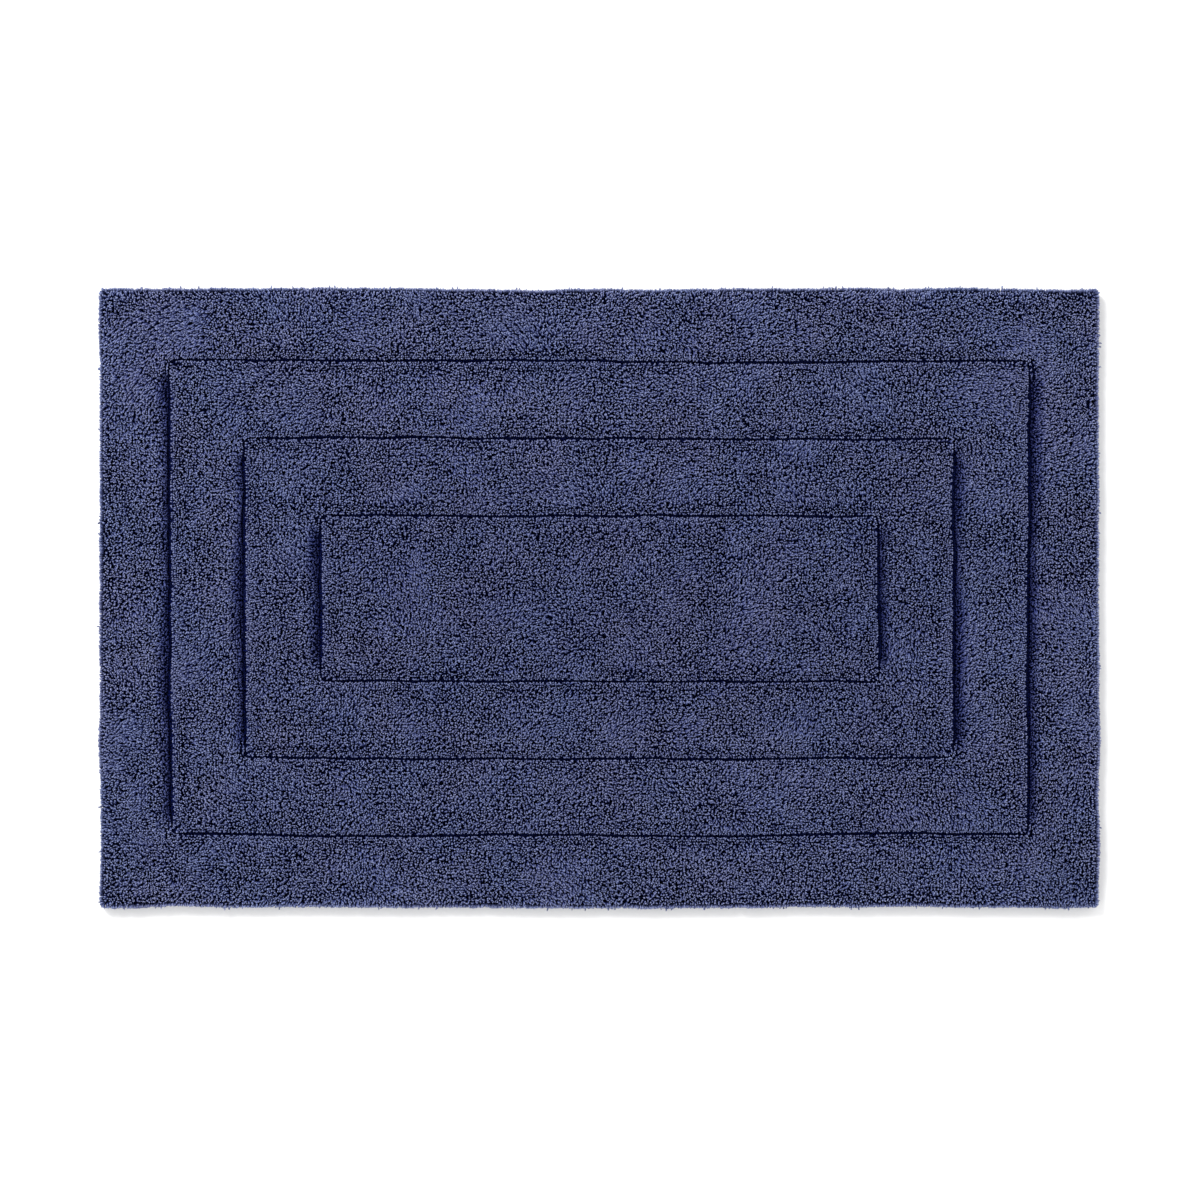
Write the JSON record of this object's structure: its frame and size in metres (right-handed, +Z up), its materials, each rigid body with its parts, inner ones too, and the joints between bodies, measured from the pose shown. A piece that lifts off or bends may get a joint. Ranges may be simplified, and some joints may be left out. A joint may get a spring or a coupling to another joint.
{
  "type": "bath mat",
  "caption": "Rectangular cut-pile cotton bath mat with three carved rectangular channels, a coated back and a taped hem.",
  "frame": {"origin": "centre of the footprint, on the floor that the mat lies on", "axes": "+X along the long side, +Y across the mat, +Z up through the pile"},
  "size_m": [0.864, 0.535, 0.017],
  "materials": {
    "cotton_pile": "matte",
    "backing_cloth": "matte",
    "latex": "matte",
    "hem_tape": "matte",
    "thread": "satin"
  },
  "bodies": {
    "root": {"pile_border": "cotton_pile", "pile_outer_band": "cotton_pile", "pile_inner_band": "cotton_pile", "pile_centre": "cotton_pile", "channel_pile_outer": "cotton_pile", "channel_pile_middle": "cotton_pile", "channel_pile_inner": "cotton_pile", "primary_backing": "backing_cloth", "tuft_back_stitches": "cotton_pile", "latex_coating": "latex", "hem_tape_front": "hem_tape", "hem_tape_back": "hem_tape", "hem_tape_left": "hem_tape", "hem_tape_right": "hem_tape", "seam_thread_outer": "thread", "seam_thread_inner": "thread"}
  },
  "joints": []
}
